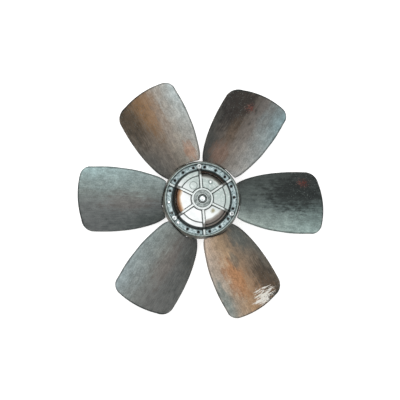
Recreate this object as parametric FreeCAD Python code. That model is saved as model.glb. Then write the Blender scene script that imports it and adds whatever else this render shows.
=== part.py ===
import FreeCAD, Part
import math
import os
from FreeCAD import Vector

# Six-blade fan propeller: a split cast hub clamping six turnable blades, lying on its rear face.
# Millimetres. +Z is the spin axis and points out of the front face, +X runs along blade 1, z = 0 is the rear face.

# ---- driving dimensions -------------------------------------------------------------------------------------------
BLADES = 6
STEP_DEG = 360.0 / BLADES
HUB_TOP = 124.0             # top of the front boss
PART_Z = 60.0               # plane where the two hub shells meet; the blade shank axes lie in it
CAST_TURN = 4.5             # the casting pattern is turned this far from the blade pattern
DRUM_R = 94.7               # widest radius of the drum, at its shoulder
SHOULDER_Z = 75.0           # top of the shoulder
PART_R = 92.0               # drum radius at the parting plane
DRUM_TOP_R = 89.8           # drum radius at the front rim
DRUM_REAR_R = 87.5          # drum radius at the rear rim
DRUM_WALL = 4.0
RIM_Z = 102.0               # top of the front rim
RIM_IN_R = 86.8             # inside of the front rim
CHANNEL_IN_R = 72.6         # inner radius of the ring channel
CHANNEL_Z = 88.0            # floor of the ring channel
CHANNEL_FLOOR = 7.0         # thickness of that floor
RING_R = 68.6               # outer edge of the web
WEB_Z = 113.0               # front face of the web
WEB_THICK = 5.0
BOSS_R = 25.4               # front boss
BOSS_CORE_R = 31.0          # boss below the web
LEDGE_R = 56.5              # start of the ledges and of the slopes
LEDGE_Z = 110.0
SLOPE_Z = 95.0              # where the slopes meet the channel's inner wall
RIB_WIDE = 4.4
RIB_BOSS_Z = 120.0          # top of the web ribs at the boss, at the ledge and at the web's edge
RIB_LEDGE_Z = 117.0
RIB_EDGE_Z = 109.0
CHANNEL_RIB_Z = 100.0

SOCKET_R = 22.0             # outside of the round blade sockets
SOCKET_IN_X = 54.0          # inner end of the sockets
SOCKET_WALL = 4.0

FERRULE_R = 12.5            # steel sleeve on the blade root
FERRULE_FIT = 0.05          # radial running clearance in the socket
FERRULE_IN_X = 60.0
FERRULE_OUT_X = 95.9
FLANGE_R = 16.0
FLANGE_IN_X = 66.0
FLANGE_OUT_X = 74.0
FLANGE_GAP = 0.3
TENON_R = 9.5               # wooden root inside the sleeve
TENON_FIT = 0.05
TENON_IN_X = 62.0
DOWEL_R = 2.5               # cross dowel through sleeve and root
DOWEL_FIT = 0.05
DOWEL_X = 82.0

BUSH_R = 21.4               # steel bush in the middle of the hub
BUSH_FIT = 0.05
BUSH_TOP = 122.5
BORE_R = 12.0               # shaft bore, open at the rear
BORE_DEEP = 88.0
KEYWAY_WIDE = 8.0
KEYWAY_OUT = 15.3           # keyway bottom, from the axis
KEYWAY_DEG = 64.5
COUNTERBORE_R = 11.4
COUNTERBORE_Z = 113.0
CHAMFER = 0.8

CENTRE_SCREW_R = 4.0
CENTRE_HEAD_FLATS = 13.0
CENTRE_HEAD_TALL = 5.5
CENTRE_SCREW_END = 90.0     # lower end of the centre screw, inside the closed end of the bush
CENTRE_WASHER_R = 9.0
CENTRE_WASHER_THICK = 1.6

BOLT_CIRCLE_R = 80.7        # front screws that hold the two shells together
REAR_CIRCLE_R = 76.0        # rear screws
BOLT_R = 3.0
BOLT_HOLE_R = 3.3
BOLT_END_Z = 36.0           # lower end of the front screws
TAP_END_Z = 34.0            # lower end of their tapped holes
TAPPED_FIT = 0.05
HEAD_R = 5.0
HEAD_TALL = 6.0
HEX_SOCKET = 5.0
HEX_DEEP = 3.2
FRONT_BOSS_R = 6.4
FRONT_BOSS_Z = 95.0
REAR_BOSS_R = 7.0
REAR_TAP_BOSS_Z = 30.0      # lower end of the tapped bosses in the rear shell
REAR_BOSS_Z = 24.0          # seat of the rear screws
WASHER_R = 6.0              # under the rear screws
SMALL_WASHER_R = 5.5        # under the front screws, clear of the rim
WASHER_THICK = 1.6
BLIND_TAP_TOP = 77.0        # top of the tapped holes for the rear screws
THREAD_TOP = 76.0

HOLES = 18                  # ring of small tapped holes in the channel floor
HOLE_RING_R = 79.4
HOLE_R = 2.9
HOLE_DEEP = 5.5
HOLE_TURN = 4.4
PLUG_TURNS = (180.0, 220.0)
GRUB_TURNS = (160.0, 200.0, 320.0)
PLUG_FIT = 0.04
PLUG_SUNK = 0.4

PIN_R = 2.0                 # dowels between the shells
PIN_RING_R = 89.0
PIN_HALF = 7.0
PIN_FIT = 0.05

GRUB_R = 4.0                # set screw that presses on the shaft key
GRUB_Z = 12.0
GRUB_IN = 16.0
GRUB_OUT = 30.0
GRUB_HEX = 4.0
GRUB_HEX_DEEP = 4.0
ACCESS_R = 5.0

WEB_PLUG_R = 2.0            # small steel plug in a ring boss on the web
WEB_PLUG_RING_R = 4.2
WEB_PLUG_AT_R = 46.0
WEB_PLUG_DEG = 64.0
PAD_R = 9.5                 # shallow round pad on the web
PAD_AT_R = 39.0
PAD_DEG = 123.0
PAD_TALL = 0.8

REAR_BOSS_OUT_R = 33.0      # rear shell
REAR_WEB_Z = 46.0
REAR_WEB_THICK = 4.0
REAR_RIB_BOSS_Z = 7.0
REAR_RIB_RIM_Z = 24.0
REAR_RIB_WIDE = 5.0

# Blade stations: distance out, then leading edge (y, z) and trailing edge (y, z) about the shank axis,
# then thickness and camber as shares of the chord.
STATIONS = (
    (82.6, (-38.9, 29.0), (37.7, -31.0), 0.165, 0.035),
    (102.0, (-53.2, 37.0), (50.8, -34.0), 0.140, 0.040),
    (131.0, (-63.7, 30.0), (61.2, -37.0), 0.105, 0.050),
    (160.0, (-71.9, 24.0), (67.8, -39.5), 0.085, 0.058),
    (190.0, (-76.8, 19.5), (71.9, -41.5), 0.070, 0.062),
    (219.0, (-80.4, 16.0), (73.9, -42.5), 0.060, 0.064),
    (248.0, (-81.2, 13.0), (74.1, -43.0), 0.052, 0.064),
    (277.0, (-81.2, 10.5), (72.9, -43.5), 0.046, 0.062),
    (306.0, (-80.6, 8.0), (71.0, -44.0), 0.042, 0.060),
)
EDGE_HALF = 1.1             # half thickness of the trailing edge
SECTION_POINTS = 12         # points along each side of a section
# Tip outline in plan, from the leading edge round to the trailing edge.
TIP_START = (258.6, -84.0)
TIP_PATH = (
    ((263.6, -81.4), (286.6, -74.6), (295.6, -58.0)),
    ((295.6, -58.0), (300.0, -19.0), (290.2, 46.0)),
    ((290.2, 46.0), (280.1, 65.5), (256.6, 74.3)),
)
TIP_END = (251.6, 80.0)
PLAN_INNER = (70.0, 100.0)  # inner reach and half width of the plan outline
PLAN_TALL = 90.0
# Neck that fairs the round shank into the blade: distance out, height and tilt of its ovals, and their half axes.
NECK = ((96.3, 0.0, -30.0, 13.01, 13.0), (107.0, 0.5, -30.0, 18.0, 10.5), (124.0, 1.5, -29.0, 27.0, 7.0),
        (146.0, 1.5, -26.0, 36.0, 3.0))
# Root end on the leading and trailing side, as (distance out, distance from the shank axis): straight run, arc
# and the side it is turned to. It clears the drum by 1.2 mm or more while the blade turns 8 degrees each way.
ROOT_LEAD = (((95.9, 0.0),), ((95.9, 0.0), (92.6, 34.0), (79.1, 68.0)), 0)
ROOT_TRAIL = (((95.9, 0.0), (95.4, 14.0), (90.8, 24.0)), ((90.8, 24.0), (86.0, 43.0), (77.5, 68.0)), 180)
ROOT_TWIST = 36.0           # setting of the blade root, from the plane of rotation

OUT = "parts"
AXIS_Z = Vector(0, 0, 1)
ORIGIN = Vector(0, 0, 0)


# ---- helpers ------------------------------------------------------------------------------------------------------
def turned(shape, degrees):
    """Copy of a shape turned about the spin axis."""
    copy = shape.copy()
    copy.rotate(ORIGIN, AXIS_Z, degrees)
    return copy


def polar(radius, degrees, z):
    """Point at a radius and angle about the spin axis."""
    angle = math.radians(degrees)
    return Vector(radius * math.cos(angle), radius * math.sin(angle), z)


def rounded_wire(corners, place):
    """Closed wire through (a, b, radius) corners, each rounded by its own radius."""
    count = len(corners)
    joints = []
    for i, (a, b, radius) in enumerate(corners):
        here = Vector(a, b, 0)
        before = Vector(*corners[i - 1][:2], 0) - here
        after = Vector(*corners[(i + 1) % count][:2], 0) - here
        if radius <= 0:
            joints.append((here, here, here))
            continue
        before.normalize()
        after.normalize()
        half = before.getAngle(after) / 2
        back = radius / math.tan(half)
        middle = before + after
        middle.normalize()
        centre = here + middle * (radius / math.sin(half))
        joints.append((here + before * back, centre - middle * radius, here + after * back))
    edges = []
    for i, (start, middle, end) in enumerate(joints):
        if start.distanceToPoint(end) > 0:
            edges.append(Part.Arc(place(start), place(middle), place(end)).toShape())
        following = joints[(i + 1) % count][0]
        if end.distanceToPoint(following) > 0:
            edges.append(Part.makeLine(place(end), place(following)))
    return Part.Wire(edges)


def revolved(corners, start_deg=0.0, sweep_deg=360.0):
    """Solid of revolution about the spin axis from (radius, z, rounding) corners."""
    face = Part.Face(rounded_wire(corners, lambda p: Vector(p.x, 0, p.y)))
    return turned(face.revolve(ORIGIN, AXIS_Z, sweep_deg), start_deg)


def upright(radius, bottom, top, at=ORIGIN):
    """Cylinder along the spin axis."""
    return Part.makeCylinder(radius, top - bottom, Vector(at.x, at.y, bottom), AXIS_Z)


def radial(radius, start, end, z=PART_Z):
    """Cylinder along +X."""
    return Part.makeCylinder(radius, end - start, Vector(start, 0, z), Vector(1, 0, 0))


def hexagon(flats, bottom, top, at=ORIGIN):
    """Hexagonal prism along the spin axis, given its width across flats."""
    corner = flats / math.sqrt(3)
    points = [Vector(at.x, at.y, bottom) + polar(corner, 60 * i, 0) for i in range(7)]
    return Part.Face(Part.makePolygon(points)).extrude(Vector(0, 0, top - bottom))


def rib(corners, width, degrees):
    """Radial rib from its (radius, z) outline, turned to its place."""
    points = [Vector(r, -width / 2, z) for r, z in corners]
    plate = Part.Face(Part.makePolygon(points + points[:1])).extrude(Vector(0, width, 0))
    return turned(plate, degrees)


def group(shapes):
    """Separate solids kept together as one piece group."""
    return Part.makeCompound(shapes)


def export(shape, name):
    """Write one piece, without redundant seams."""
    if shape.ShapeType != "Compound":
        shape = shape.removeSplitter()
    shape.exportStep(os.path.join(OUT, name + ".step"))


def blade_turns():
    return [STEP_DEG * k for k in range(BLADES)]


def rib_turns():
    return [STEP_DEG * (k + 0.5) + CAST_TURN for k in range(BLADES)]


RIBS = rib_turns()
THROUGH_TURNS = [RIBS[1], RIBS[3], RIBS[5]]     # screws right through both shells
BLIND_TURNS = [RIBS[0], RIBS[2], RIBS[4]]       # screws from the rear, under the plain channel ribs


# ---- hub shells ---------------------------------------------------------------------------------------------------
def socket_room():
    """Space for one blade sleeve with its flange, along +X."""
    sleeve = radial(FERRULE_R + FERRULE_FIT, FERRULE_IN_X - FLANGE_GAP, DRUM_R + 1)
    flange = radial(FLANGE_R + FLANGE_GAP, FLANGE_IN_X - FLANGE_GAP, FLANGE_OUT_X + FLANGE_GAP)
    return sleeve.fuse(flange)


def half_space(below):
    """Slab holding everything on one side of the parting plane."""
    side = 3 * DRUM_R
    base = PART_Z - side if below else PART_Z
    return Part.makeBox(side, side, side, Vector(-side / 2, -side / 2, base))


def sockets(below):
    """Round socket housings of one shell."""
    tube = radial(SOCKET_R, SOCKET_IN_X - SOCKET_WALL, RIM_IN_R + 1)
    housings = [turned(tube, turn) for turn in blade_turns()]
    return housings[0].multiFuse(housings[1:]).common(half_space(below))


def front_shell():
    floor_bottom = CHANNEL_Z - CHANNEL_FLOOR
    web_bottom = WEB_Z - WEB_THICK
    shell = revolved((
        (BUSH_R + BUSH_FIT, PART_Z, 0),
        (BUSH_R + BUSH_FIT, HUB_TOP, 0.8),
        (BOSS_R, HUB_TOP, 1.2),
        (BOSS_R + 1.0, WEB_Z, 2.0),
        (RING_R, WEB_Z, 1.6),
        (CHANNEL_IN_R, CHANNEL_Z, 2.0),
        (RIM_IN_R - 0.4, CHANNEL_Z, 2.0),
        (RIM_IN_R, RIM_Z, 0.9),
        (DRUM_TOP_R, RIM_Z, 1.2),
        (DRUM_R - 0.8, SHOULDER_Z + 3.0, 3.0),
        (DRUM_R, SHOULDER_Z, 1.0),
        (DRUM_R, SHOULDER_Z - 5.0, 1.0),
        (PART_R, SHOULDER_Z - 7.0, 2.0),
        (PART_R, PART_Z, 0),
        (PART_R - DRUM_WALL - 2.0, PART_Z, 0),
        (PART_R - DRUM_WALL - 2.0, floor_bottom, 3.0),
        (CHANNEL_IN_R - 5.0, floor_bottom, 2.0),
        (RING_R - 5.0, web_bottom, 3.0),
        (BOSS_CORE_R, web_bottom, 3.0),
        (BOSS_CORE_R, PART_Z, 0),
    ))
    inner_wall = revolved((
        (SOCKET_IN_X - SOCKET_WALL, PART_Z, 0),
        (SOCKET_IN_X, PART_Z, 0),
        (SOCKET_IN_X, WEB_Z - 1, 0),
        (SOCKET_IN_X - SOCKET_WALL, WEB_Z - 1, 0),
    ))
    shell = shell.multiFuse([inner_wall, sockets(False)])

    slope_in = LEDGE_R - 2.5
    wall_lean = (CHANNEL_IN_R - RING_R) / (WEB_Z - CHANNEL_Z)
    slope_out = RING_R + (WEB_Z - SLOPE_Z) * wall_lean
    for k in range(BLADES):
        if k % 2 == 0:
            plate = revolved((
                (slope_in - 3.0, WEB_Z - 1.0, 0),
                (slope_in - 3.0, web_bottom, 0),
                (slope_out - 1.0, SLOPE_Z - WEB_THICK - 2.0, 0),
                (slope_out - 1.0, SLOPE_Z, 0),
            ), RIBS[k], STEP_DEG)
            scoop = revolved((
                (slope_in, WEB_Z + 1, 0),
                (slope_in, WEB_Z - 0.01, 0),
                (slope_in + 5.0, WEB_Z - 2.6, 9.0),
                (slope_out, SLOPE_Z, 0),
                (slope_out + 5.0, SLOPE_Z - 3.0, 0),
                (slope_out + 5.0, WEB_Z + 1, 0),
            ), RIBS[k], STEP_DEG)
            shell = shell.fuse(plate).cut(scoop)
        else:
            ledge = revolved((
                (LEDGE_R, WEB_Z + 1, 0),
                (LEDGE_R, LEDGE_Z, 0.6),
                (RING_R + 3.0, LEDGE_Z, 0),
                (RING_R + 3.0, WEB_Z + 1, 0),
            ), RIBS[k], STEP_DEG)
            shell = shell.cut(ledge)

    web_rib = ((BOSS_R - 2, web_bottom), (BOSS_R - 2, RIB_BOSS_Z), (LEDGE_R, RIB_LEDGE_Z), (RING_R, RIB_EDGE_Z),
               (slope_out, SLOPE_Z), (RING_R - 4, SLOPE_Z - 6))
    channel_rib = ((CHANNEL_IN_R - 3, CHANNEL_Z - 1), (CHANNEL_IN_R - 3, CHANNEL_RIB_Z - 2),
                   (RIM_IN_R + 1, CHANNEL_RIB_Z), (RIM_IN_R + 1, CHANNEL_Z - 1))
    short_rib = ((CHANNEL_IN_R - 3, CHANNEL_Z - 1), (CHANNEL_IN_R - 3, FRONT_BOSS_Z + 1),
                 (BOLT_CIRCLE_R - 4, FRONT_BOSS_Z - 1), (BOLT_CIRCLE_R - 4, CHANNEL_Z - 1))
    extras = [rib(web_rib, RIB_WIDE, turn) for turn in RIBS]
    extras += [rib(channel_rib, RIB_WIDE, turn) for turn in BLIND_TURNS]
    extras += [rib(short_rib, RIB_WIDE, turn) for turn in THROUGH_TURNS]
    for turn in THROUGH_TURNS:
        extras.append(upright(FRONT_BOSS_R, PART_Z, FRONT_BOSS_Z, polar(BOLT_CIRCLE_R, turn, 0)))
    for turn in BLIND_TURNS:
        extras.append(upright(FRONT_BOSS_R, PART_Z, CHANNEL_Z - 1, polar(REAR_CIRCLE_R, turn, 0)))
    extras.append(upright(WEB_PLUG_RING_R, WEB_Z - 1, WEB_Z + 1.2, polar(WEB_PLUG_AT_R, WEB_PLUG_DEG, 0)))
    extras.append(upright(PAD_R, WEB_Z - 1, WEB_Z + PAD_TALL, polar(PAD_AT_R, PAD_DEG, 0)))
    shell = shell.multiFuse(extras)

    cuts = [turned(socket_room(), turn) for turn in blade_turns()]
    for turn in THROUGH_TURNS:
        cuts.append(upright(BOLT_HOLE_R, PART_Z - 1, FRONT_BOSS_Z + 1, polar(BOLT_CIRCLE_R, turn, 0)))
    for turn in BLIND_TURNS:
        cuts.append(upright(BOLT_R + TAPPED_FIT, PART_Z - 1, BLIND_TAP_TOP, polar(REAR_CIRCLE_R, turn, 0)))
        cuts.append(upright(PIN_R + PIN_FIT, PART_Z - 1, PART_Z + PIN_HALF + 0.5, polar(PIN_RING_R, turn, 0)))
    for i in range(HOLES):
        spot = polar(HOLE_RING_R, HOLE_TURN + 360.0 / HOLES * i, 0)
        cuts.append(upright(HOLE_R, CHANNEL_Z - HOLE_DEEP, CHANNEL_Z + 1, spot))
    plug_spot = polar(WEB_PLUG_AT_R, WEB_PLUG_DEG, 0)
    cuts.append(upright(WEB_PLUG_R + PLUG_FIT, WEB_Z - 3.0, WEB_Z + 2, plug_spot))
    cuts.append(upright(WEB_PLUG_R + 1.0, WEB_Z + 0.4, WEB_Z + 2, plug_spot))
    return shell.cut(cuts)


def rear_shell():
    shell = revolved((
        (BUSH_R + BUSH_FIT, 0, 0.5),
        (BUSH_R + BUSH_FIT, PART_Z, 0),
        (BOSS_CORE_R, PART_Z, 0),
        (BOSS_CORE_R, REAR_WEB_Z + REAR_WEB_THICK, 2.0),
        (PART_R - DRUM_WALL - 2.0, REAR_WEB_Z + REAR_WEB_THICK, 2.0),
        (PART_R - DRUM_WALL - 2.0, PART_Z, 0),
        (PART_R, PART_Z, 0),
        (DRUM_REAR_R, 0, 1.5),
        (DRUM_REAR_R - DRUM_WALL, 0, 1.0),
        (PART_R - DRUM_WALL - 1.0, REAR_WEB_Z, 3.0),
        (REAR_BOSS_OUT_R + 1.5, REAR_WEB_Z, 3.0),
        (REAR_BOSS_OUT_R, 0, 1.5),
    ))
    inner_wall = revolved((
        (SOCKET_IN_X - SOCKET_WALL, PART_Z - SOCKET_R + 3, 1.5),
        (SOCKET_IN_X - SOCKET_WALL, PART_Z, 0),
        (SOCKET_IN_X, PART_Z, 0),
        (SOCKET_IN_X, PART_Z - SOCKET_R + 3, 1.5),
    ))
    outline = ((REAR_BOSS_OUT_R - 2, REAR_WEB_Z + 1), (REAR_BOSS_OUT_R - 2, REAR_RIB_BOSS_Z),
               (REAR_CIRCLE_R - 9, REAR_RIB_RIM_Z), (DRUM_REAR_R, REAR_RIB_RIM_Z), (DRUM_REAR_R, REAR_WEB_Z + 1))
    extras = [inner_wall, sockets(True)]
    extras += [rib(outline, REAR_RIB_WIDE, turn) for turn in RIBS]
    extras += [upright(REAR_BOSS_R, REAR_TAP_BOSS_Z, PART_Z, polar(BOLT_CIRCLE_R, turn, 0)) for turn in THROUGH_TURNS]
    extras += [upright(REAR_BOSS_R, REAR_BOSS_Z, PART_Z, polar(REAR_CIRCLE_R, turn, 0)) for turn in BLIND_TURNS]
    shell = shell.multiFuse(extras)
    cuts = [turned(socket_room(), turn) for turn in blade_turns()]
    for turn in THROUGH_TURNS:
        cuts.append(upright(BOLT_R + TAPPED_FIT, TAP_END_Z, PART_Z + 1, polar(BOLT_CIRCLE_R, turn, 0)))
    for turn in BLIND_TURNS:
        cuts.append(upright(BOLT_HOLE_R, REAR_BOSS_Z - 2, PART_Z + 1, polar(REAR_CIRCLE_R, turn, 0)))
        cuts.append(upright(WASHER_R + 0.5, REAR_RIB_RIM_Z - 4, REAR_BOSS_Z, polar(REAR_CIRCLE_R, turn, 0)))
        cuts.append(upright(PIN_R + PIN_FIT, PART_Z - PIN_HALF - 0.5, PART_Z + 1, polar(PIN_RING_R, turn, 0)))
    cuts.append(turned(radial(GRUB_R + TAPPED_FIT, BORE_R, BOSS_CORE_R + 5, GRUB_Z), KEYWAY_DEG))
    cuts.append(turned(radial(ACCESS_R, DRUM_REAR_R - DRUM_WALL - 3, DRUM_R, GRUB_Z), KEYWAY_DEG))
    return shell.cut(cuts)


# ---- hub middle and fasteners -------------------------------------------------------------------------------------
def hub_bush():
    bush = revolved((
        (0, 0, 0),
        (BUSH_R, 0, CHAMFER),
        (BUSH_R, BUSH_TOP, CHAMFER),
        (COUNTERBORE_R, BUSH_TOP, 0.5),
        (COUNTERBORE_R, COUNTERBORE_Z, 0.5),
        (0, COUNTERBORE_Z, 0),
    ))
    bore = revolved((
        (0, -1, 0),
        (BORE_R + 1.0, -1, 0),
        (BORE_R, CHAMFER, 0),
        (BORE_R, BORE_DEEP, 0),
        (0, BORE_DEEP, 0),
    ))
    keyway = Part.makeBox(KEYWAY_OUT, KEYWAY_WIDE, BORE_DEEP + 1, Vector(0, -KEYWAY_WIDE / 2, -1))
    grub = radial(GRUB_R + TAPPED_FIT, BORE_R, BUSH_R + 2, GRUB_Z)
    thread = upright(CENTRE_SCREW_R + TAPPED_FIT, BORE_DEEP - 1, COUNTERBORE_Z + 1)
    return bush.cut([bore, turned(keyway, KEYWAY_DEG), turned(grub, KEYWAY_DEG), thread])


def centre_screw():
    seat = COUNTERBORE_Z + CENTRE_WASHER_THICK
    head = hexagon(CENTRE_HEAD_FLATS, seat, seat + CENTRE_HEAD_TALL)
    corner = CENTRE_HEAD_FLATS / math.sqrt(3)
    crown = revolved((
        (0, seat, 0),
        (corner, seat, 0),
        (corner, seat + CENTRE_HEAD_TALL - 0.8, 0),
        (corner - 1.3, seat + CENTRE_HEAD_TALL, 0),
        (0, seat + CENTRE_HEAD_TALL, 0),
    ))
    dimple = upright(2.2, seat + CENTRE_HEAD_TALL - 0.6, seat + CENTRE_HEAD_TALL + 1)
    shank = upright(CENTRE_SCREW_R, CENTRE_SCREW_END, seat)
    return head.common(crown).cut(dimple).fuse(shank)


def centre_washer():
    ring = upright(CENTRE_WASHER_R, COUNTERBORE_Z, COUNTERBORE_Z + CENTRE_WASHER_THICK)
    hole = upright(CENTRE_SCREW_R + 0.4, COUNTERBORE_Z - 1, COUNTERBORE_Z + 3)
    return ring.cut(hole)


def cap_screw(end, seat):
    """Socket head screw along the spin axis: the head sits on the seat, the shank runs to the end."""
    away = 1 if seat > end else -1
    crown = seat + away * HEAD_TALL
    low, high = sorted((seat, crown))
    head = revolved((
        (0, low, 0),
        (HEAD_R, low, 0.6 if away < 0 else 0),
        (HEAD_R, high, 0.6 if away > 0 else 0),
        (0, high, 0),
    ))
    low, high = sorted((crown - away * HEX_DEEP, crown + away))
    shank = upright(BOLT_R, min(end, seat), max(end, seat))
    return head.cut(hexagon(HEX_SOCKET, low, high)).fuse(shank)


def washer(bottom, radius):
    ring = upright(radius, bottom, bottom + WASHER_THICK)
    return ring.cut(upright(BOLT_R + 0.2, bottom - 1, bottom + WASHER_THICK + 1))


def around(shape, radius, turns):
    """Copies of an upright piece at a radius and several angles."""
    moved = shape.copy()
    moved.translate(Vector(radius, 0, 0))
    return group([turned(moved, turn) for turn in turns])


def shaft_grub_screw():
    screw = radial(GRUB_R, GRUB_IN, GRUB_OUT, GRUB_Z)
    socket = hexagon(GRUB_HEX, 0, GRUB_HEX_DEEP + 1)
    socket.rotate(ORIGIN, Vector(0, 1, 0), 90)
    socket.translate(Vector(GRUB_OUT - GRUB_HEX_DEEP, 0, GRUB_Z))
    return turned(screw.cut(socket), KEYWAY_DEG)


def balance_plug():
    bottom = CHANNEL_Z - HOLE_DEEP + 0.1
    plug = upright(HOLE_R - PLUG_FIT, bottom, CHANNEL_Z - PLUG_SUNK)
    slot = Part.makeBox(8, 0.8, 2, Vector(-4, -0.4, CHANNEL_Z - PLUG_SUNK - 0.8))
    return plug.cut(slot)


def balance_grub():
    bottom = CHANNEL_Z - HOLE_DEEP + 0.1
    top = CHANNEL_Z - PLUG_SUNK
    return upright(HOLE_R - PLUG_FIT, bottom, top).cut(hexagon(3.0, top - 2.2, top + 1))


def web_plug():
    return upright(WEB_PLUG_R, WEB_Z - 2.9, WEB_Z + 0.9, polar(WEB_PLUG_AT_R, WEB_PLUG_DEG, 0))


# ---- blades -------------------------------------------------------------------------------------------------------
def section(x, lead, trail, thick, camber):
    """Closed cambered section across the blade at a distance out."""
    chord = Vector(0, trail[0] - lead[0], trail[1] - lead[1])
    along = Vector(chord)
    along.normalize()
    up = Vector(0, -along.z, along.y)
    nose = Vector(x, lead[0], lead[1] + PART_Z)
    span = chord.Length
    above, below = [], []
    for i in range(SECTION_POINTS + 1):
        s = 1 - math.cos(math.pi / 2 * i / SECTION_POINTS)
        half = 5 * thick * (0.2969 * math.sqrt(s) - 0.1260 * s - 0.3516 * s ** 2 + 0.2843 * s ** 3 - 0.1036 * s ** 4)
        half = half * span + EDGE_HALF * s
        bow = 4 * camber * s * (1 - s) * span
        base = nose + along * (s * span)
        above.append(base + up * (bow + half))
        below.append(base + up * (bow - half))
    curve = Part.BSplineCurve()
    curve.interpolate(above[::-1] + below[1:])
    return Part.Wire([curve.toShape(), Part.makeLine(below[-1], above[-1])])


def tip_outline():
    """Plan outline that trims the blade tip, as a tall prism."""
    inner, half = PLAN_INNER

    def spot(x, y):
        return Vector(x, y, PART_Z - PLAN_TALL / 2)

    arcs = [Part.Arc(*[spot(*p) for p in path]).toShape() for path in TIP_PATH]
    corners = [spot(*TIP_PATH[-1][-1]), spot(*TIP_END), spot(TIP_END[0], half), spot(inner, half),
               spot(inner, -half), spot(TIP_START[0], -half), spot(*TIP_START), spot(*TIP_PATH[0][0])]
    lines = [Part.makeLine(a, b) for a, b in zip(corners[:-1], corners[1:])]
    return Part.Face(Part.Wire(arcs + lines)).extrude(Vector(0, 0, PLAN_TALL))


def root_clearance():
    """Solid about the shank axis that keeps the blade root off the drum at every pitch setting."""
    halves = []
    for straight, arc, side in (ROOT_LEAD, ROOT_TRAIL):
        near = Vector(0, 0, PART_Z)
        path = [Vector(x, 0, PART_Z + reach) for x, reach in straight]
        start, middle, end = [Vector(x, 0, PART_Z + reach) for x, reach in arc]
        far = Vector(0, 0, end.z)
        edges = [Part.makeLine(p, q) for p, q in zip(path[:-1], path[1:])]
        edges += [Part.Arc(start, middle, end).toShape(), Part.makeLine(end, far), Part.makeLine(far, near),
                  Part.makeLine(near, path[0])]
        half = Part.Face(Part.Wire(edges)).revolve(near, Vector(1, 0, 0), 180)
        half.rotate(near, Vector(1, 0, 0), side - ROOT_TWIST)
        halves.append(half)
    return halves


def neck():
    """Neck that turns from round at the shank to a flat oval inside the blade."""
    ovals = []
    for x, z, tilt, wide, tall in NECK:
        middle = Vector(x, 0, PART_Z + z)
        angle = math.radians(tilt)
        along = Vector(0, math.cos(angle), math.sin(angle))
        across = Vector(0, -math.sin(angle), math.cos(angle))
        ovals.append(Part.Wire([Part.Ellipse(middle + along * wide, middle + across * tall, middle).toShape()]))
    return Part.makeLoft(ovals, True, False)


def blade():
    wing = Part.makeLoft([section(*station) for station in STATIONS], True, False)
    wing = wing.common(tip_outline())
    tenon = radial(TENON_R, TENON_IN_X, NECK[0][0] + 4)
    dowel_hole = upright(DOWEL_R + DOWEL_FIT, PART_Z - FERRULE_R, PART_Z + FERRULE_R, Vector(DOWEL_X, 0, 0))
    return wing.fuse(neck()).cut(root_clearance()).fuse(tenon).cut(dowel_hole)


def ferrule():
    sleeve = radial(FERRULE_R, FERRULE_IN_X, FERRULE_OUT_X).fuse(radial(FLANGE_R, FLANGE_IN_X, FLANGE_OUT_X))
    hollow = radial(TENON_R + TENON_FIT, TENON_IN_X - 0.2, FERRULE_OUT_X + 1)
    dowel_hole = upright(DOWEL_R + DOWEL_FIT, PART_Z - FLANGE_R, PART_Z + FLANGE_R, Vector(DOWEL_X, 0, 0))
    return sleeve.cut([hollow, dowel_hole])


def dowel():
    half = math.sqrt(FERRULE_R ** 2 - DOWEL_R ** 2) - 0.2
    return upright(DOWEL_R, PART_Z - half, PART_Z + half, Vector(DOWEL_X, 0, 0))


# ---- pieces -------------------------------------------------------------------------------------------------------
os.makedirs(OUT, exist_ok=True)
export(front_shell(), "hub_front_shell")
export(rear_shell(), "hub_rear_shell")
export(hub_bush(), "hub_bush")
export(centre_screw(), "centre_screw")
export(centre_washer(), "centre_washer")
export(shaft_grub_screw(), "shaft_grub_screw")

front_seat = FRONT_BOSS_Z + WASHER_THICK
rear_seat = REAR_BOSS_Z - WASHER_THICK
export(around(cap_screw(BOLT_END_Z, front_seat), BOLT_CIRCLE_R, THROUGH_TURNS), "clamp_screws")
export(around(washer(FRONT_BOSS_Z, SMALL_WASHER_R), BOLT_CIRCLE_R, THROUGH_TURNS), "clamp_washers")
export(around(cap_screw(THREAD_TOP, rear_seat), REAR_CIRCLE_R, BLIND_TURNS), "rear_screws")
export(around(washer(rear_seat, WASHER_R), REAR_CIRCLE_R, BLIND_TURNS), "rear_washers")
export(around(upright(PIN_R, PART_Z - PIN_HALF, PART_Z + PIN_HALF), PIN_RING_R, BLIND_TURNS), "shell_dowels")
export(around(balance_plug(), HOLE_RING_R, [HOLE_TURN + t for t in PLUG_TURNS]), "balance_plugs")
export(around(balance_grub(), HOLE_RING_R, [HOLE_TURN + t for t in GRUB_TURNS]), "balance_grub_screws")
export(web_plug(), "web_plug")

wing, sleeve, cross_pin = blade(), ferrule(), dowel()
for number, turn in enumerate(blade_turns(), start=1):
    export(turned(wing, turn), "blade_%d" % number)
    export(turned(sleeve, turn), "blade_ferrule_%d" % number)
    export(turned(cross_pin, turn), "blade_dowel_%d" % number)
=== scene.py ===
import math

import bpy
from mathutils import Matrix, Vector


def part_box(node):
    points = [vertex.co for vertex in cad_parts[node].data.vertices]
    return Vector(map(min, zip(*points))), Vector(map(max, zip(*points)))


# Looks of the six-blade fan propeller: weathered wooden blades in a cast hub.
# Metres, in the frame of the CAD part.

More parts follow.
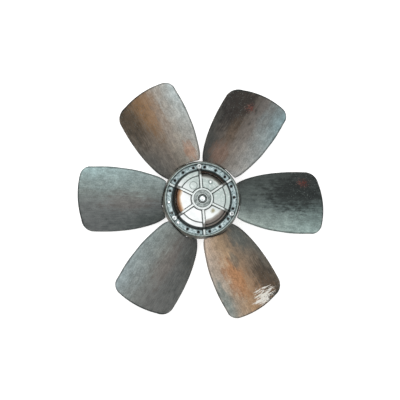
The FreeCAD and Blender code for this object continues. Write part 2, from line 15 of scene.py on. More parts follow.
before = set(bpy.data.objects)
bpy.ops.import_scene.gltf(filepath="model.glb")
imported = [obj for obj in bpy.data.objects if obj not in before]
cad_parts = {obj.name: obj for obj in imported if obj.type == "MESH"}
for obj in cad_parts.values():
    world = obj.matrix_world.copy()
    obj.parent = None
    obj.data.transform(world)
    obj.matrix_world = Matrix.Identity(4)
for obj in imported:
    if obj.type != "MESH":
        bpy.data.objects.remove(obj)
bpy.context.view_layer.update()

MM = 0.001
BLADES = 6
BLADE_STEP = math.radians(360 / BLADES)
CAST_TURN = math.radians(4.5)           # the casting is turned this far from the blades
FIRST_RIB = BLADE_STEP / 2 + CAST_TURN
HUB_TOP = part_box("hub_front_shell")[1].z
TIP_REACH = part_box("blade_1")[1].x

# Camera over the front face, a few degrees off the spin axis
VIEW_TILT = math.radians(5.6)
VIEW_SIDE = math.radians(228.3)         # which way it leans, counted like the blades
VIEW_DISTANCE = 6.4
VIEW_WIDTH = 0.965                      # width of the picture at the hub's front boss
VIEW_CENTRE = Vector((-6.1 * MM, -3.5 * MM, HUB_TOP))

# Colours of each blade across its width, at root and tip: leading edge, body, middle, trailing side
# Besides each blade's own tone these hold a pale painted sheen along the leading edge and painted shade
# towards the trailing side
BLADE_TONES_AND_SHADING = (
    (("98A5A0", "5E6866", "59625F", "4E5654"), ("94A8A4", "5A6866", "3A403F", "282B2A")),
    (("9A9B98", "7E7871", "72665D", "4A4B48"), ("80979B", "686460", "463F38", "33302D")),
    (("9E9C96", "868076", "777068", "65635F"), ("B4BFBF", "94877A", "745F49", "55493C")),
    (("8A9897", "7A8380", "6C7070", "545B59"), ("9EB6B6", "7C8582", "6E7271", "626565")),
    (("879290", "7A7E7A", "6C6D6B", "535857"), ("94A1A3", "7A7E7B", "6D6E6C", "626462")),
    (("BCAA9A", "A88F74", "8A7A68", "6C6C66"), ("929691", "A88A6C", "91745A", "5A4F42")),
)
ACROSS_STOPS = (-0.95, -0.3, 0.2, 0.75)
SCRATCH_TURN = math.radians(-90)        # scratches on the scuffed tip run this way, from the blade's own axis

# Plan of a blade about its own axis: where it reaches its full width, half that width, and the bow of its tip
FULL_WIDTH_AT = 0.26
HALF_WIDTH = 0.079
NARROWING_RUN = 0.24                    # over this run inwards the width falls to nothing, ever faster
NARROWING_POWER = 2.4
BLADE_ROOT = 0.095
TIP_MIDDLE = -19 * MM                   # the tip reaches furthest at this place across
TIP_BOW = 2.5                           # and falls back by this much times the square of the way from there

# Hub casting, in millimetres: radii and heights where a colour changes, some a little beside the real edge
BOSS_EDGE = 26.0
BOSS_TOP = 121.0
WEB_EDGE = (70.0, 70.6)
WEB_RIB_FOOT = 115.0                    # web ribs rise above this, their feet and the web lie below
WEB_BOTTOM = 93.5
LEDGE_TOP = 110.0
LEDGE_EDGE = (55.2, 57.8)
CHANNEL_WALL_SHADE = (67.6, 73.6)
CHANNEL = (73.6, 87.2)
CHANNEL_RIB_FOOT = 93.0
CHANNEL_FLOOR = 88.0
RIM_TOP = 102.0
HOLE_EDGE = 87.4
RIM_INSIDE = 86.6
DRUM_OUTSIDE = 87.6
RIM_SHOULDER = 100.6
SHELL_SPLIT = 58.0
RIB_HALF = 2.0
WEB_SHADE_AND_GRIME = 2.6                         # width of the lines of painted shade and grime at the foot of ribs and boss
CHANNEL_SHADE_AND_GRIME = 2.4
HOLE_DARKENING = (3.3, 4.8)                  # the floor is painted darker around a small hole, fading between these radii
POCKET_RUN = (48, 73)                   # the painted shade of the pockets runs between these radii
DARK_RIB_END_RUN = (55, 62)                     # ends of the web ribs are painted darker between these
MARK_HALF = 0.8
LINE_SOFT = 0.3                         # soft edge of painted lines and rings, and of painted heights
LEVEL_SOFT = 0.4
SECTOR_EDGE = (0.862, 0.872)            # cosine of 30 degrees, a little to both sides

# Ring of small holes, the side towards which the casting is painted paler, as painted light falling from
# there, and an oil spot
HOLE_RING = 79.4 * MM
HOLE_STEP = math.radians(20)
FIRST_HOLE = math.radians(4.4)
LIT_SIDE = Vector((-0.6, -0.8, 0))
OIL_SPOT = Vector((25 * MM, -28 * MM, 0))
# Round marks on the web: direction in degrees, distance out and radius in millimetres
WEB_MARKS = ((123, 39, 9.0), (64, 46, 5.0))
# Pockets of the web, painted with shade deepening outwards and warm bounced light: direction in degrees, and
# colours outwards over the slope
SHADED_POCKETS = (
    (64.5, ((0.12, "C8D0CC"), (0.26, "8C8E88"), (0.4, "4C4A42"),
            (0.6, "2C2620"), (0.85, "5A4130"), (1, "141817"))),
    (184.5, ((0.03, "FAF8F4"), (0.2, "D6C4AE"), (0.34, "AE8460"),
             (0.5, "76523A"), (0.68, "3C3026"), (1, "161B19"))),
    (304.5, ((0.04, "E4E8E4"), (0.18, "B0AEA8"), (0.34, "8E8680"),
             (0.75, "988E86"), (0.94, "6A625C"), (1, "1E2221"))),
)

# Stains and scuffs: blade, place along and across it, reach along and across, colour, cover, kind of outline
PATCHES = (
    (1, (0.230, 0.018), (0.092, 0.056), "1E2423", 0.80, "cloudy"),
    (1, (0.252, 0.046), (0.016, 0.012), "6A3026", 0.75, "specks"),
    (2, (0.250, 0.038), (0.085, 0.050), "2A2522", 0.75, "cloudy"),
    (2, (0.258, 0.008), (0.014, 0.012), "6A3024", 0.70, "specks"),
    (2, (0.190, 0.018), (0.050, 0.018), "5E4C3A", 0.45, "cloudy"),
    (2, (0.124, 0.020), (0.036, 0.026), "8A6C5C", 0.50, "cloudy"),
    (3, (0.250, 0.002), (0.085, 0.036), "8C6A48", 0.60, "cloudy"),
    (3, (0.250, 0.054), (0.090, 0.030), "443A2E", 0.60, "cloudy"),
    (3, (0.196, -0.014), (0.080, 0.012), "948C84", 0.50, "cloudy"),
    (3, (0.116, -0.036), (0.036, 0.018), "A88068", 0.60, "cloudy"),
    (4, (0.180, 0.004), (0.080, 0.028), "7A6F68", 0.35, "cloudy"),
    (5, (0.180, 0.004), (0.080, 0.028), "7E746D", 0.40, "cloudy"),
    (6, (0.205, -0.020), (0.070, 0.032), "B07A50", 0.65, "cloudy"),
    (6, (0.166, -0.004), (0.034, 0.014), "6E7068", 0.60, "cloudy"),
    (6, (0.118, 0.032), (0.040, 0.022), "626966", 0.65, "cloudy"),
    (6, (0.238, -0.070), (0.064, 0.016), "7C8580", 0.70, "cloudy"),
    (6, (0.240, 0.046), (0.064, 0.032), "453A2F", 0.65, "cloudy"),
    (6, (0.279, 0.021), (0.028, 0.050), "ECE8DE", 1.00, "scratched"),
    (6, (0.288, 0.046), (0.010, 0.026), "2A2824", 0.90, "specks"),
)
# How far the outline of each kind is torn, and where it starts and ends to fade, as shares of its reach
RAGGED = {"cloudy": 1.3, "specks": 3.0, "scratched": 1.35}
PATCH_CORE = 0.35
PATCH_END = {"cloudy": 1.05, "specks": 0.6, "scratched": 0.6}

# Steel: pitch of the turning marks, and the pale lip around the counterbore of the bush
TURNING_PITCH = 0.7 * MM
COUNTERBORE_LIP = (11.3 * MM, 12.5 * MM)

# Cosine between the softened and the true normal: a full edge below the first, none above the second
EDGE_MATCH = (0.84, 0.995)

# Studio
FLOOR_HALF = 12.0
FLOOR_LEVEL = -0.5 * MM                 # just below the rear face, so that the two don't flicker
FLOOR_GLOW = 0.65
SKY_GLOW = 0.4
LAMP_PLACE = Vector((-0.5, 0.4, 4.0))
LAMP_SIZE = 3.0
LAMP_POWER = 100.0
FAR_CLIP = 100.0


def paint(code):
    """Linear colour from a hexadecimal sRGB one."""
    parts = [int(code[i:i + 2], 16) / 255 for i in (0, 2, 4)]
    return [((c + 0.055) / 1.055) ** 2.4 if c > 0.04045 else c / 12.92 for c in parts] + [1.0]


# ---- material building -----------------------------------------------------------------------------------
class Finish:
    """One procedural material, built node by node. Its place is the point in the part's frame, at rest."""

    def __init__(self, name, metallic, specular):
        self.material = bpy.data.materials.new(name)
        self.material.use_nodes = True
        self.tree = self.material.node_tree
        self.shader = self.tree.nodes["Principled BSDF"]
        self.shader.inputs["Metallic"].default_value = metallic
        self.shader.inputs["Specular IOR Level"].default_value = specular
        self.place = self.node("TexCoord").outputs["Object"]

    def feed(self, socket, value):
        if isinstance(value, bpy.types.NodeSocket):
            self.tree.links.new(value, socket)
        else:
            socket.default_value = value

    def node(self, kind, inputs=(), **settings):
        made = self.tree.nodes.new("ShaderNode" + kind)
        for key, value in settings.items():
            setattr(made, key, value)
        for key, value in dict(inputs).items():
            self.feed(made.inputs[key], value)
        return made

    def math(self, operation, a, b=0.0):
        return self.node("Math", {0: a, 1: b}, operation=operation).outputs[0]

    def invert(self, value):
        return self.math("SUBTRACT", 1.0, value)

    def split(self, vector):
        return self.node("SeparateXYZ", {0: vector}).outputs

    def stretch(self, vector, factors):
        return self.node("VectorMath", {0: vector, 1: factors}, operation="MULTIPLY").outputs[0]

    def turned(self, vector, angle):
        """A place turned about the spin axis."""
        inputs = {"Vector": vector, "Angle": angle}
        return self.node("VectorRotate", inputs, rotation_type="Z_AXIS").outputs[0]

    def length(self, vector):
        return self.node("VectorMath", {0: vector}, operation="LENGTH").outputs["Value"]

    def distance(self, a, b):
        return self.node("VectorMath", {0: a, 1: b}, operation="DISTANCE").outputs["Value"]

    def dot(self, a, b):
        return self.node("VectorMath", {0: a, 1: b}, operation="DOT_PRODUCT").outputs["Value"]

    def rise(self, value, low, high):
        """0 below low, 1 above high, smooth between."""
        inputs = {"Value": value, "From Min": low, "From Max": high}
        return self.node("MapRange", inputs, interpolation_type="SMOOTHSTEP").outputs[0]

    def fall(self, value, low, high):
        return self.invert(self.rise(value, low, high))

    def band(self, value, low, high, soft):
        """1 between low and high."""
        return self.math("MULTIPLY", self.rise(value, low - soft, low + soft),
                         self.fall(value, high - soft, high + soft))

    def all_of(self, *masks):
        result = masks[0]
        for mask in masks[1:]:
            result = self.math("MULTIPLY", result, mask)
        return result

    def any_of(self, *masks):
        result = masks[0]
        for mask in masks[1:]:
            result = self.math("MAXIMUM", result, mask)
        return result

    def noise(self, vector, scale, detail=4.0, roughness=0.55):
        """Noise spread over the whole range from 0 to 1."""
        inputs = {"Vector": vector, "Scale": scale, "Detail": detail, "Roughness": roughness}
        return self.spread(self.node("TexNoise", inputs).outputs["Fac"], 0.28, 0.72)

    def spread(self, value, low, high):
        """0 at low, 1 at high, straight between."""
        return self.node("MapRange", {"Value": value, "From Min": low, "From Max": high}).outputs[0]

    def mix(self, share, a, b, blend="MIX"):
        inputs = {0: share, 6: a, 7: b}
        return self.node("Mix", inputs, data_type="RGBA", blend_type=blend).outputs[2]

    def blend(self, share, a, b):
        """Number between a and b."""
        return self.node("Mix", {0: share, 2: a, 3: b}, data_type="FLOAT").outputs[0]

    def ramp(self, value, stops):
        made = self.node("ValToRGB", {0: value})
        elements = made.color_ramp.elements
        while len(elements) < len(stops):
            elements.new(1.0)
        for element, (position, code) in zip(elements, stops):
            element.position = position
            element.color = paint(code)
        return made.outputs[0]

    def corners(self, reach):
        """1 in the open, towards 0 in corners and holes."""
        return self.node("AmbientOcclusion", {"Distance": reach}, samples=8).outputs["AO"]

    def edges(self, reach):
        """1 along sharp edges, as wide as the reach."""
        soft = self.node("Bevel", {"Radius": reach}, samples=4).outputs[0]
        true = self.node("NewGeometry").outputs["Normal"]
        return self.fall(self.dot(soft, true), *EDGE_MATCH)

    def done(self, colour, roughness, height, depth):
        bump = self.node("Bump", {"Height": height, "Distance": depth, "Strength": 1.0})
        self.feed(self.shader.inputs["Base Color"], colour)
        self.feed(self.shader.inputs["Roughness"], roughness)
        self.feed(self.shader.inputs["Normal"], bump.outputs[0])
        return self.material


# ---- blades ----------------------------------------------------------------------------------------------
def blade_patch(finish, colour, place, outlines, patch):
    """Lay one stain or scuff over the colour, with a torn outline."""
    centre, reach, code, cover, kind = patch
    shift = Vector((-centre[0], -centre[1], 0))
    moved = finish.node("VectorMath", {0: place, 1: shift}, operation="ADD").outputs[0]
    scaled = finish.stretch(moved, (1 / reach[0], 1 / reach[1], 0))
    torn = finish.math("MULTIPLY", finish.math("SUBTRACT", outlines[kind], 0.5), RAGGED[kind])
    mask = finish.fall(finish.math("ADD", finish.length(scaled), torn), PATCH_CORE, PATCH_END[kind])
    return finish.mix(finish.math("MULTIPLY", mask, cover), colour, paint(code))


def blade_finish(number):
    """Sealed wood with grain along the span, stained by weather, with a painted sheen along the leading edge
    and painted shade towards the trailing side.
    """
    finish = Finish("blade_%d_wood" % number, 0.0, 0.25)
    place = finish.turned(finish.place, -(number - 1) * BLADE_STEP)
    x, y, z = finish.split(place)

    waist = finish.math("MAXIMUM", finish.math("SUBTRACT", FULL_WIDTH_AT, x), 0.0)
    narrowing = finish.math("POWER", finish.math("DIVIDE", waist, NARROWING_RUN), NARROWING_POWER)
    half_width = finish.math("MULTIPLY", finish.invert(narrowing), HALF_WIDTH)
    across = finish.math("DIVIDE", y, half_width)
    along = finish.rise(x, BLADE_ROOT, TIP_REACH - 10 * MM)

    drift = finish.noise(finish.stretch(place, (1, 1.6, 1)), 16, 3)
    cloud = finish.noise(finish.stretch(place, (1, 1.7, 1)), 60, 6, 0.62)
    grain = finish.noise(finish.stretch(place, (16, 300, 60)), 1.0, 5, 0.65)
    fibre = finish.noise(finish.stretch(place, (60, 700, 200)), 1.0, 3, 0.6)
    speck = finish.noise(place, 300, 4, 0.7)
    slanted = finish.turned(place, SCRATCH_TURN)
    scratch = finish.noise(finish.stretch(slanted, (40, 260, 40)), 1.0, 4, 0.65)
    outlines = {"cloudy": finish.blend(0.4, cloud, grain), "specks": speck, "scratched": scratch}

    wander = finish.math("MULTIPLY", finish.math("SUBTRACT", drift, 0.5), 0.3)
    reading = finish.math("ADD", across, wander)
    # Colour across the width: the blade's own tone with a painted sheen at the leading edge and painted shade
    # towards the trailing side
    share = finish.spread(reading, -1.0, 1.0)
    stops = [(s + 1) / 2 for s in ACROSS_STOPS]
    root, tip = BLADE_TONES_AND_SHADING[number - 1]
    at_root = finish.ramp(share, list(zip(stops, root)))
    at_tip = finish.ramp(share, list(zip(stops, tip)))
    colour = finish.mix(along, at_root, at_tip)
    for owner, *patch in PATCHES:
        if owner == number:
            colour = blade_patch(finish, colour, place, outlines, patch)

    mottle = finish.ramp(cloud, ((0, "80847F"), (0.5, "BCBCBC"), (1, "E8E6E2")))
    streaks = finish.ramp(grain, ((0, "949494"), (0.5, "BCBCBC"), (1, "E0E0E0")))
    hairs = finish.ramp(finish.blend(0.65, fibre, speck), ((0, "5C5C5C"), (0.5, "BCBCBC"), (1, "FFFFFF")))
    for cover, layer in ((0.5, mottle), (0.3, streaks), (0.6, hairs)):
        colour = finish.mix(cover, colour, layer, "OVERLAY")
    pits = finish.all_of(finish.rise(speck, 0.66, 0.86), finish.rise(across, -0.6, 0.4))
    colour = finish.mix(finish.math("MULTIPLY", pits, 0.6), colour, paint("1E201F"))

    fleck_side = finish.rise(across, -0.4, 0.2)
    flecks = finish.all_of(finish.fall(speck, 0.16, 0.34), fleck_side, finish.rise(along, 0.3, 0.8))
    colour = finish.mix(finish.math("MULTIPLY", flecks, 0.4), colour, paint("8E9894"))

    # Painted shade: a dark line along the tip, the trailing side and, fainter, the leading edge, where the
    # blade's edges turn away from the light
    off_middle = finish.math("SUBTRACT", y, TIP_MIDDLE)
    bow = finish.math("MULTIPLY", finish.math("MULTIPLY", off_middle, off_middle), TIP_BOW)
    end = finish.rise(finish.math("ADD", x, bow), TIP_REACH - 4 * MM, TIP_REACH - 1.5 * MM)
    side = finish.rise(across, 0.93, 0.98)
    lead = finish.fall(across, -1.0, -0.965)
    rim_shade = finish.any_of(end, side, finish.math("MULTIPLY", lead, 0.6))
    colour = finish.mix(finish.math("MULTIPLY", rim_shade, 0.7), colour, paint("2A302E"))

    # Painted shade darkens the rounded edges; pale chips of wear lie on them
    edge = finish.edges(6 * MM)
    chips = finish.all_of(edge, finish.rise(cloud, 0.62, 0.72))
    colour = finish.mix(finish.math("MULTIPLY", edge, 0.9), colour, paint("262C2A"))
    colour = finish.mix(finish.math("MULTIPLY", chips, 0.5), colour, paint("A89E90"))

    roughness = finish.blend(cloud, 0.42, 0.72)
    height = finish.blend(0.45, finish.blend(0.5, grain, fibre), speck)
    return finish.done(colour, roughness, height, 0.3 * MM)


# ---- hub -------------------------------------------------------------------------------------------------
def sector(finish, angle, centre_deg):
    """1 inside the sixth of the hub around an angle."""
    turned = finish.math("SUBTRACT", angle, math.radians(centre_deg))
    return finish.rise(finish.math("COSINE", turned), *SECTOR_EDGE)


class HubFinish(Finish):
    """Finish that also knows its radius, angle and height on the hub, and how far ribs and holes are."""

    def __init__(self, name, metallic, specular):
        super().__init__(name, metallic, specular)
        x, y, self.z = self.split(self.place)
        self.flat = self.stretch(self.place, (1, 1, 0))
        self.radius = self.length(self.flat)
        self.angle = self.math("ARCTAN2", y, x)
        self.aside = self.off_pattern(FIRST_RIB, BLADE_STEP)
        along = self.math("SUBTRACT", self.radius, HOLE_RING)
        over = self.off_pattern(FIRST_HOLE, HOLE_STEP)
        self.to_hole = self.length(self.node("CombineXYZ", {0: along, 1: over}).outputs[0])

    def off_pattern(self, first, step):
        """Sideways distance to the nearest of the spokes that start at an angle and repeat by a step."""
        turn = self.math("PINGPONG", self.math("SUBTRACT", self.angle, first), step / 2)
        return self.math("MULTIPLY", self.radius, self.math("SINE", turn))

    def ring(self, low, high, soft=LINE_SOFT):
        """1 between two radii in millimetres."""
        return self.band(self.radius, low * MM, high * MM, soft * MM)

    def beside_rib(self, reach):
        """1 next to a rib, out to this many millimetres from it."""
        return self.band(self.aside, RIB_HALF * MM, (RIB_HALF + reach) * MM, LINE_SOFT * MM)

    def above(self, level):
        """1 above a height in millimetres."""
        return self.rise(self.z, (level - LEVEL_SOFT) * MM, (level + LEVEL_SOFT) * MM)

    def below(self, level):
        return self.invert(self.above(level))

    def tint(self, colour, mask, cover, code):
        return self.mix(self.math("MULTIPLY", mask, cover), colour, paint(code))


def ring_mark(finish, colour, turn, out, size):
    """Thin dark ring around a spot on the web."""
    spot = Vector((math.cos(math.radians(turn)), math.sin(math.radians(turn)), 0)) * out * MM
    away = finish.distance(finish.flat, spot)
    line = finish.band(away, (size - MARK_HALF) * MM, (size + MARK_HALF) * MM, LINE_SOFT * MM)
    return finish.tint(colour, finish.all_of(line, finish.above(LEDGE_TOP + 2.0)), 0.6, "4A5654")


def web_colours(finish, colour, cloud):
    """Web inside the channel: painted shade and grime at the foot of ribs and boss, pockets painted with
    shade, darker rib ends.
    """
    inside = finish.fall(finish.radius, WEB_EDGE[0] * MM, WEB_EDGE[1] * MM)
    web = finish.all_of(finish.above(WEB_BOTTOM), inside)
    low = finish.below(WEB_RIB_FOOT)
    pockets = finish.any_of(*[sector(finish, finish.angle, turn) for turn, stops in SHADED_POCKETS])
    # Painted shade and grime: dark lines at the foot of ribs and boss and along the ledge step
    rib_foot = finish.beside_rib(WEB_SHADE_AND_GRIME)
    boss_foot = finish.ring(BOSS_EDGE - 0.4, BOSS_EDGE + WEB_SHADE_AND_GRIME)
    step = finish.all_of(finish.invert(pockets), finish.ring(*LEDGE_EDGE))
    shade_and_grime_lines = finish.all_of(web, low, finish.any_of(rib_foot, boss_foot, step))
    colour = finish.tint(colour, shade_and_grime_lines, 0.92, "2E3836")

    off_rib = finish.rise(finish.aside, 1.9 * MM, 2.5 * MM)
    wander = finish.math("MULTIPLY", finish.math("SUBTRACT", cloud, 0.5), 0.12)
    run = finish.spread(finish.radius, POCKET_RUN[0] * MM, POCKET_RUN[1] * MM)
    out = finish.math("ADD", run, wander)
    # Painted shade falling into each pocket, with warm painted bounce light on its slope
    for turn, stops in SHADED_POCKETS:
        here = finish.all_of(sector(finish, finish.angle, turn), web, off_rib, finish.rise(out, 0.0, 0.15))
        colour = finish.mix(here, colour, finish.ramp(out, stops))
    # The ends of the web ribs are painted darker
    far_out = finish.rise(finish.radius, DARK_RIB_END_RUN[0] * MM, DARK_RIB_END_RUN[1] * MM)
    dark_rib_ends = finish.all_of(far_out, web, finish.invert(off_rib))
    colour = finish.tint(colour, dark_rib_ends, 0.8, "544C42")

    for mark in WEB_MARKS:
        colour = ring_mark(finish, colour, *mark)

    from_spot = finish.distance(finish.flat, OIL_SPOT)
    torn = finish.math("ADD", from_spot, finish.math("MULTIPLY", cloud, 6 * MM))
    return finish.tint(colour, finish.all_of(web, finish.fall(torn, 4 * MM, 11 * MM)), 0.85, "8C8458")


def channel_colours(finish, colour, blotch, speckle):
    """Ring channel: painted shade on the inner wall, at the floor's edges and at the rib feet, mottled floor,
    holes painted black as shade and darker around them, pale raised ribs and seats.
    """
    # Painted shade on the inner wall of the channel
    wall_height = finish.all_of(finish.above(CHANNEL_FLOOR - 2.5), finish.below(WEB_RIB_FOOT - 0.6))
    wall_shade = finish.all_of(finish.ring(*CHANNEL_WALL_SHADE), wall_height)
    colour = finish.tint(colour, wall_shade, 0.94, "1A2220")
    channel_height = finish.all_of(finish.above(CHANNEL_FLOOR - 6.0), finish.below(RIM_TOP - 0.8))
    channel = finish.all_of(finish.ring(*CHANNEL), channel_height)
    rough_cast = finish.blend(0.5, blotch, speckle)
    mottle = finish.ramp(rough_cast, ((0.2, "4A5E60"), (0.5, "AABFC1"), (0.74, "E4F0F2")))
    colour = finish.mix(channel, colour, mottle)
    # Painted shade along the channel floor at the foot of its inner and outer walls
    inner, outer = CHANNEL
    margin_shade = finish.any_of(finish.fall(finish.radius, (inner + 0.2) * MM, (inner + 1.8) * MM),
                            finish.rise(finish.radius, (outer - 3.2) * MM, (outer - 1.2) * MM))
    colour = finish.tint(colour, finish.all_of(channel, margin_shade), 0.75, "34423F")
    raised = finish.all_of(channel, finish.above(CHANNEL_RIB_FOOT))
    colour = finish.tint(colour, raised, 0.75, "E6EFED")
    # Painted shade and grime at the foot of the channel's ribs
    channel_rib_foot_shade = finish.all_of(channel, finish.below(CHANNEL_RIB_FOOT), finish.beside_rib(CHANNEL_SHADE_AND_GRIME))
    colour = finish.tint(colour, channel_rib_foot_shade, 0.8, "26302E")
    # Around each hole the floor is painted darker; inside, the hole is painted black as shade
    around_hole = finish.fall(finish.to_hole, HOLE_DARKENING[0] * MM, HOLE_DARKENING[1] * MM)
    dark_round_hole = finish.all_of(channel, finish.below(CHANNEL_RIB_FOOT), around_hole)
    colour = finish.tint(colour, dark_round_hole, 0.85, "141B1A")
    hole_shade = finish.all_of(channel, finish.below(HOLE_EDGE))
    return finish.tint(colour, hole_shade, 1.0, "070A0A")


def hub_finish():
    """Cast aluminium, painted paler towards the lit side: pale floors, painted shade and grime in every
    corner, a mottled channel and three pockets painted with shade.
    """
    finish = HubFinish("hub_cast_aluminium", 0.25, 0.4)
    cloud = finish.noise(finish.place, 60, 4)
    blotch = finish.noise(finish.place, 170, 4, 0.6)
    speckle = finish.noise(finish.place, 420, 3, 0.6)
    sand = finish.noise(finish.place, 900, 4, 0.65)

    # Painted light: the casting is paler towards the lit side and greyer away from it, with pale flecks on
    # the greyer side
    to_side = finish.dot(finish.flat, LIT_SIDE)
    to_side = finish.math("ADD", to_side, finish.math("MULTIPLY", cloud, 20 * MM))
    lit_share = finish.rise(to_side, -22 * MM, 35 * MM)
    colour = finish.mix(lit_share, paint("B6C3BF"), paint("F3F6F6"))
    flecks = finish.rise(finish.blend(0.4, blotch, speckle), 0.55, 0.75)
    colour = finish.tint(colour, finish.all_of(flecks, finish.invert(lit_share)), 0.6, "F2F6F4")

    colour = web_colours(finish, colour, cloud)
    colour = channel_colours(finish, colour, blotch, speckle)
    boss = finish.all_of(finish.above(BOSS_TOP), finish.ring(BOSS_EDGE - 5, BOSS_EDGE))
    colour = finish.tint(colour, boss, 0.7, "E4ECEA")
    on_rib = finish.fall(finish.aside, RIB_HALF * MM, (RIB_HALF + 0.4) * MM)
    ribs = finish.all_of(finish.above(WEB_RIB_FOOT), on_rib, finish.ring(BOSS_EDGE, 60, 2))
    colour = finish.tint(colour, ribs, 0.7, "E8EEEC")

    # Painted shade on the rim's top and rounded outer edge, with a patchy painted highlight line along it
    from_rim = finish.rise(finish.radius, (RIM_INSIDE - 0.2) * MM, (RIM_INSIDE + 0.2) * MM)
    rim_shade = finish.all_of(from_rim, finish.above(RIM_SHOULDER))
    colour = finish.mix(rim_shade, colour, finish.ramp(blotch, ((0.3, "5A6A66"), (0.7, "8E9E9A"))))
    line = finish.ring(RIM_INSIDE + 1.0, RIM_INSIDE + 2.2)
    highlight_line = finish.all_of(rim_shade, line, finish.rise(cloud, 0.2, 0.5))
    colour = finish.tint(colour, highlight_line, 0.7, "C8D4D1")
    from_drum = finish.rise(finish.radius, (DRUM_OUTSIDE - 0.2) * MM, (DRUM_OUTSIDE + 0.2) * MM)
    drum = finish.all_of(from_drum, finish.below(RIM_SHOULDER))
    weather = finish.ramp(cloud, ((0.15, "4A524F"), (0.5, "6E6E66"), (0.85, "8A867C")))
    colour = finish.mix(drum, colour, weather)
    dull = finish.ramp(finish.blend(0.4, cloud, speckle), ((0.2, "5C6260"), (0.5, "8C928F"), (0.8, "B4B8B4")))
    colour = finish.mix(finish.all_of(finish.below(SHELL_SPLIT), finish.invert(drum)), colour, dull)

    # Painted shade and grime in corners and recesses
    shade = finish.fall(finish.corners(6 * MM), 0.3, 0.9)
    colour = finish.mix(finish.math("MULTIPLY", shade, 0.9), colour, paint("4C5754"), "MULTIPLY")
    rubbed = finish.all_of(finish.edges(0.8 * MM), finish.rise(blotch, 0.4, 0.6), finish.invert(drum))
    colour = finish.tint(colour, rubbed, 0.5, "DCE4E2")
    grains = finish.ramp(sand, ((0, "969696"), (0.5, "BCBCBC"), (1, "E0E0E0")))
    colour = finish.mix(0.3, colour, grains, "OVERLAY")
    roughness = finish.blend(cloud, 0.45, 0.7)
    return finish.done(colour, roughness, finish.blend(0.5, sand, blotch), 0.25 * MM)


# ---- steel -----------------------------------------------------------------------------------------------
def steel_finish(name, light, dark, shade_and_grime, rough, bright_ring=False):
    """Turned steel with fine rings, spots of tarnish and painted shade and grime in its recesses."""
    finish = Finish(name, 0.6, 0.5)
    z = finish.split(finish.place)[2]
    cloud = finish.noise(finish.place, 140, 4)
    grit = finish.noise(finish.place, 520, 4, 0.7)
    radius = finish.length(finish.stretch(finish.place, (1, 1, 0)))
    rings = finish.math("SINE", finish.math("MULTIPLY", radius, 2 * math.pi / TURNING_PITCH))
    colour = finish.ramp(finish.blend(0.5, cloud, grit), ((0.36, dark), (0.6, light)))
    if bright_ring:
        lip = finish.band(radius, *COUNTERBORE_LIP, 0.2 * MM)
        ring = finish.all_of(lip, finish.rise(z, (BOSS_TOP - 1) * MM, BOSS_TOP * MM))
        colour = finish.mix(ring, colour, paint("C4CCCA"))
    # Painted shade and grime in recesses
    colour = finish.mix(finish.fall(finish.corners(4 * MM), 0.2, 0.8), colour, paint(shade_and_grime), "MULTIPLY")
    worn = finish.all_of(finish.edges(0.6 * MM), finish.rise(cloud, 0.42, 0.55))
    colour = finish.mix(finish.math("MULTIPLY", worn, 0.6), colour, paint("E4E8E8"))
    roughness = finish.blend(grit, rough - 0.1, rough + 0.15)
    height = finish.blend(0.15, grit, finish.spread(rings, -1.0, 1.0))
    return finish.done(colour, roughness, height, 0.12 * MM)


def dress(material, *names):
    for name in names:
        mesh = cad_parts[name].data
        mesh.materials.clear()
        mesh.materials.append(material)


numbers = range(1, BLADES + 1)
for number in numbers:
    dress(blade_finish(number), "blade_%d" % number)
dress(hub_finish(), "hub_front_shell", "hub_rear_shell")
dress(steel_finish("bush_steel", "9AA2A0", "565E5C", "303433", 0.5, bright_ring=True), "hub_bush")
dress(steel_finish("bright_steel", "DCE2E2", "8E9696", "2C3433", 0.4),
      "centre_screw", "clamp_screws", "rear_screws", "shell_dowels")
dress(steel_finish("bright_washer_steel", "FFFFFF", "C4CCCC", "38403F", 0.4),
      "clamp_washers", "rear_washers", "web_plug")
dress(steel_finish("dull_steel", "6E7674", "3A403F", "202423", 0.5),
      "centre_washer", *["blade_ferrule_%d" % number for number in numbers])
dress(steel_finish("black_steel", "4A4E4D", "202322", "0C0E0E", 0.5),
      "shaft_grub_screw", "balance_grub_screws", *["blade_dowel_%d" % number for number in numbers])
dress(steel_finish("plug_alloy", "FFFFFF", "D4DCDC", "505A58", 0.4), "balance_plugs")


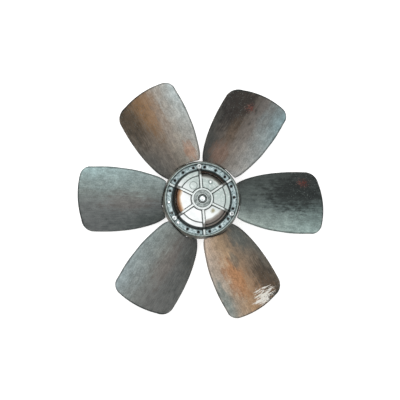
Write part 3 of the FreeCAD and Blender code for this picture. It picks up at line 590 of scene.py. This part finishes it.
# ---- floor, light and camera -----------------------------------------------------------------------------
def floor():
    """Plain pale floor under the hub's rear face."""
    mesh = bpy.data.meshes.new("floor")
    corners = [(x * FLOOR_HALF, y * FLOOR_HALF, FLOOR_LEVEL) for x, y in ((-1, -1), (1, -1), (1, 1), (-1, 1))]
    mesh.from_pydata(corners, [], [(0, 1, 2, 3)])
    ground = bpy.data.objects.new("floor", mesh)
    bpy.context.scene.collection.objects.link(ground)
    pale = Finish("pale_floor", 0.0, 0.0)
    pale.shader.inputs["Base Color"].default_value = (0.9, 0.9, 0.9, 1)
    pale.shader.inputs["Roughness"].default_value = 1.0
    pale.shader.inputs["Emission Color"].default_value = (1, 1, 1, 1)
    pale.shader.inputs["Emission Strength"].default_value = FLOOR_GLOW
    mesh.materials.append(pale.material)


def aim(thing, place, target, up):
    """Put a camera or light at a place, looking at a target."""
    back = (place - target).normalized()
    right = up.cross(back).normalized()
    over = back.cross(right)
    thing.matrix_world = Matrix.Translation(place) @ Matrix((right, over, back)).transposed().to_4x4()


def soft_light(name, place, size, power):
    lamp = bpy.data.lights.new(name, "AREA")
    lamp.shape = "DISK"
    lamp.size = size
    lamp.energy = power
    holder = bpy.data.objects.new(name, lamp)
    bpy.context.scene.collection.objects.link(holder)
    aim(holder, place, Vector((0, 0, 0)), Vector((0, 1, 0)))


def camera():
    lens = bpy.data.cameras.new("camera")
    lens.lens = lens.sensor_width * VIEW_DISTANCE / VIEW_WIDTH
    lens.clip_end = FAR_CLIP
    holder = bpy.data.objects.new("camera", lens)
    bpy.context.scene.collection.objects.link(holder)
    lean = math.sin(VIEW_TILT)
    away = Vector((lean * math.cos(VIEW_SIDE), lean * math.sin(VIEW_SIDE), math.cos(VIEW_TILT)))
    aim(holder, VIEW_CENTRE + away * VIEW_DISTANCE, VIEW_CENTRE, Vector((0, 1, 0)))
    bpy.context.scene.camera = holder


floor()
camera()
soft_light("overhead", LAMP_PLACE, LAMP_SIZE, LAMP_POWER)
world = bpy.data.worlds.new("studio")
world.use_nodes = True
sky = world.node_tree.nodes["Background"]
sky.inputs["Color"].default_value = (1, 1, 1, 1)
sky.inputs["Strength"].default_value = SKY_GLOW
bpy.context.scene.world = world
bpy.context.scene.view_settings.view_transform = "Standard"
